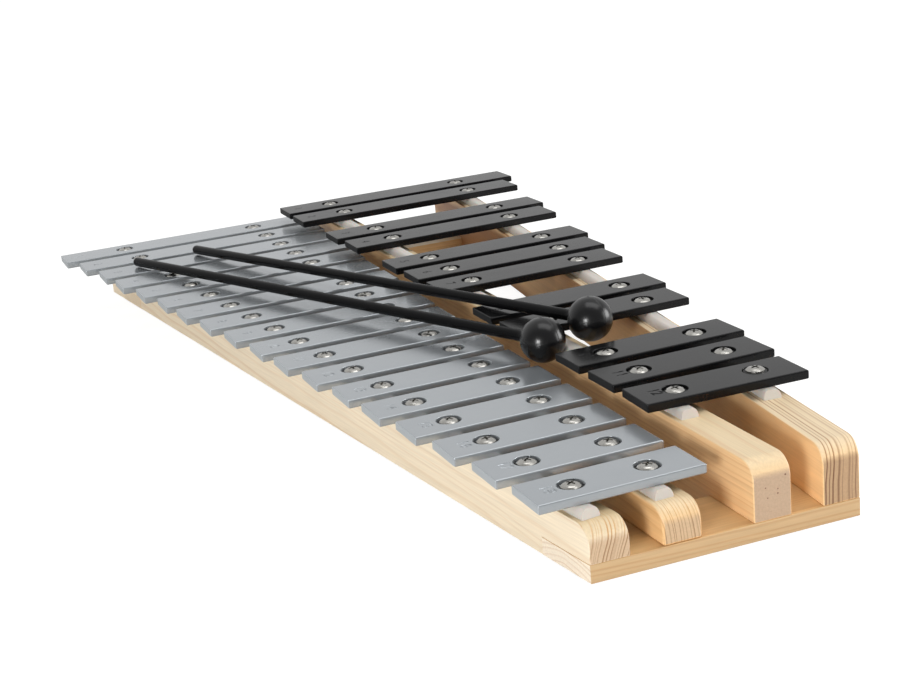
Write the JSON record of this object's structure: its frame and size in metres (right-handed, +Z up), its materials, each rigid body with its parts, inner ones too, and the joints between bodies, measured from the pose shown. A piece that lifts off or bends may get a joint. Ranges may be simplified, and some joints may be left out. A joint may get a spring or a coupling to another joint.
{
  "type": "chromatic metallophone",
  "caption": "Chromatic metallophone: tapering rows of grey natural and raised black accidental steel bars, screwed over bearing strips on a pine rail frame, with ball mallets",
  "frame": {"origin": "middle of the instrument's outline in plan, on the surface it stands on", "axes": "+X from the bass end to the treble end, +Y from the grey natural bars to the black accidental bars, +Z up"},
  "size_m": [0.5796, 0.3122, 0.0568],
  "materials": {
    "grey_lacquer": "semi-gloss silver grey lacquer on steel",
    "black_lacquer": "satin black lacquer on steel",
    "pine": "planed pine with a clear satin finish",
    "bearing_strip": "matt off-white extruded strip",
    "bar_screws": "bright nickel-plated steel",
    "rubber_washers": "matt black",
    "zinc_screws": "zinc-plated steel",
    "mallet_plastic": "moulded black plastic, soft sheen"
  },
  "bodies": {
    "frame": {"natural_outer_rail": "pine", "natural_inner_rail": "pine", "accidental_inner_rail": "pine", "accidental_outer_rail": "pine", "treble_batten": "pine", "bass_batten": "pine", "natural_outer_strip": "bearing_strip", "natural_inner_strip": "bearing_strip", "accidental_inner_strip": "bearing_strip", "accidental_outer_strip": "bearing_strip", "natural_outer_screws": "bar_screws", "natural_inner_screws": "bar_screws", "accidental_inner_screws": "bar_screws", "accidental_outer_screws": "bar_screws", "natural_outer_washers": "rubber_washers", "natural_inner_washers": "rubber_washers", "accidental_inner_washers": "rubber_washers", "accidental_outer_washers": "rubber_washers", "frame_screws": "zinc_screws"},
    "bar_g5": {"bar_g5": "grey_lacquer"},
    "bar_g_sharp5": {"bar_g_sharp5": "black_lacquer"},
    "bar_a5": {"bar_a5": "grey_lacquer"},
    "bar_a_sharp5": {"bar_a_sharp5": "black_lacquer"},
    "bar_b5": {"bar_b5": "grey_lacquer"},
    "bar_c6": {"bar_c6": "grey_lacquer"},
    "bar_c_sharp6": {"bar_c_sharp6": "black_lacquer"},
    "bar_d6": {"bar_d6": "grey_lacquer"},
    "bar_d_sharp6": {"bar_d_sharp6": "black_lacquer"},
    "bar_e6": {"bar_e6": "grey_lacquer"},
    "bar_f6": {"bar_f6": "grey_lacquer"},
    "bar_f_sharp6": {"bar_f_sharp6": "black_lacquer"},
    "bar_g6": {"bar_g6": "grey_lacquer"},
    "bar_g_sharp6": {"bar_g_sharp6": "black_lacquer"},
    "bar_a6": {"bar_a6": "grey_lacquer"},
    "bar_a_sharp6": {"bar_a_sharp6": "black_lacquer"},
    "bar_b6": {"bar_b6": "grey_lacquer"},
    "bar_c7": {"bar_c7": "grey_lacquer"},
    "bar_c_sharp7": {"bar_c_sharp7": "black_lacquer"},
    "bar_d7": {"bar_d7": "grey_lacquer"},
    "bar_d_sharp7": {"bar_d_sharp7": "black_lacquer"},
    "bar_e7": {"bar_e7": "grey_lacquer"},
    "bar_f7": {"bar_f7": "grey_lacquer"},
    "bar_f_sharp7": {"bar_f_sharp7": "black_lacquer"},
    "bar_g7": {"bar_g7": "grey_lacquer"},
    "bar_g_sharp7": {"bar_g_sharp7": "black_lacquer"},
    "bar_a7": {"bar_a7": "grey_lacquer"},
    "bar_a_sharp7": {"bar_a_sharp7": "black_lacquer"},
    "bar_b7": {"bar_b7": "grey_lacquer"},
    "bar_c8": {"bar_c8": "grey_lacquer"},
    "front_mallet": {"front_mallet": "mallet_plastic"},
    "back_mallet": {"back_mallet": "mallet_plastic"}
  },
  "joints": [
    {"name": "g5_float", "type": "slide", "parent": "frame", "child": "bar_g5", "axis": [0, 0, 1], "range_m": [0, 0.00025]},
    {"name": "g_sharp5_float", "type": "slide", "parent": "frame", "child": "bar_g_sharp5", "axis": [0, 0, 1], "range_m": [0, 0.00025]},
    {"name": "a5_float", "type": "slide", "parent": "frame", "child": "bar_a5", "axis": [0, 0, 1], "range_m": [0, 0.00025]},
    {"name": "a_sharp5_float", "type": "slide", "parent": "frame", "child": "bar_a_sharp5", "axis": [0, 0, 1], "range_m": [0, 0.00025]},
    {"name": "b5_float", "type": "slide", "parent": "frame", "child": "bar_b5", "axis": [0, 0, 1], "range_m": [0, 0.00025]},
    {"name": "c6_float", "type": "slide", "parent": "frame", "child": "bar_c6", "axis": [0, 0, 1], "range_m": [0, 0.00025]},
    {"name": "c_sharp6_float", "type": "slide", "parent": "frame", "child": "bar_c_sharp6", "axis": [0, 0, 1], "range_m": [0, 0.00025]},
    {"name": "d6_float", "type": "slide", "parent": "frame", "child": "bar_d6", "axis": [0, 0, 1], "range_m": [0, 0.00025]},
    {"name": "d_sharp6_float", "type": "slide", "parent": "frame", "child": "bar_d_sharp6", "axis": [0, 0, 1], "range_m": [0, 0.00025]},
    {"name": "e6_float", "type": "slide", "parent": "frame", "child": "bar_e6", "axis": [0, 0, 1], "range_m": [0, 0.00025]},
    {"name": "f6_float", "type": "slide", "parent": "frame", "child": "bar_f6", "axis": [0, 0, 1], "range_m": [0, 0.00025]},
    {"name": "f_sharp6_float", "type": "slide", "parent": "frame", "child": "bar_f_sharp6", "axis": [0, 0, 1], "range_m": [0, 0.00025]},
    {"name": "g6_float", "type": "slide", "parent": "frame", "child": "bar_g6", "axis": [0, 0, 1], "range_m": [0, 0.00025]},
    {"name": "g_sharp6_float", "type": "slide", "parent": "frame", "child": "bar_g_sharp6", "axis": [0, 0, 1], "range_m": [0, 0.00025]},
    {"name": "a6_float", "type": "slide", "parent": "frame", "child": "bar_a6", "axis": [0, 0, 1], "range_m": [0, 0.00025]},
    {"name": "a_sharp6_float", "type": "slide", "parent": "frame", "child": "bar_a_sharp6", "axis": [0, 0, 1], "range_m": [0, 0.00025]},
    {"name": "b6_float", "type": "slide", "parent": "frame", "child": "bar_b6", "axis": [0, 0, 1], "range_m": [0, 0.00025]},
    {"name": "c7_float", "type": "slide", "parent": "frame", "child": "bar_c7", "axis": [0, 0, 1], "range_m": [0, 0.00025]},
    {"name": "c_sharp7_float", "type": "slide", "parent": "frame", "child": "bar_c_sharp7", "axis": [0, 0, 1], "range_m": [0, 0.00025]},
    {"name": "d7_float", "type": "slide", "parent": "frame", "child": "bar_d7", "axis": [0, 0, 1], "range_m": [0, 0.00025]},
    {"name": "d_sharp7_float", "type": "slide", "parent": "frame", "child": "bar_d_sharp7", "axis": [0, 0, 1], "range_m": [0, 0.00025]},
    {"name": "e7_float", "type": "slide", "parent": "frame", "child": "bar_e7", "axis": [0, 0, 1], "range_m": [0, 0.00025]},
    {"name": "f7_float", "type": "slide", "parent": "frame", "child": "bar_f7", "axis": [0, 0, 1], "range_m": [0, 0.00025]},
    {"name": "f_sharp7_float", "type": "slide", "parent": "frame", "child": "bar_f_sharp7", "axis": [0, 0, 1], "range_m": [0, 0.00025]},
    {"name": "g7_float", "type": "slide", "parent": "frame", "child": "bar_g7", "axis": [0, 0, 1], "range_m": [0, 0.00025]},
    {"name": "g_sharp7_float", "type": "slide", "parent": "frame", "child": "bar_g_sharp7", "axis": [0, 0, 1], "range_m": [0, 0.00025]},
    {"name": "a7_float", "type": "slide", "parent": "frame", "child": "bar_a7", "axis": [0, 0, 1], "range_m": [0, 0.00025]},
    {"name": "a_sharp7_float", "type": "slide", "parent": "frame", "child": "bar_a_sharp7", "axis": [0, 0, 1], "range_m": [0, 0.00025]},
    {"name": "b7_float", "type": "slide", "parent": "frame", "child": "bar_b7", "axis": [0, 0, 1], "range_m": [0, 0.00025]},
    {"name": "c8_float", "type": "slide", "parent": "frame", "child": "bar_c8", "axis": [0, 0, 1], "range_m": [0, 0.00025]},
    {"name": "front_mallet_lift", "type": "slide", "parent": "frame", "child": "front_mallet", "axis": [0, 0, 1], "range_m": [0, 0.08]},
    {"name": "back_mallet_lift", "type": "slide", "parent": "frame", "child": "back_mallet", "axis": [0, 0, 1], "range_m": [0, 0.08]}
  ]
}
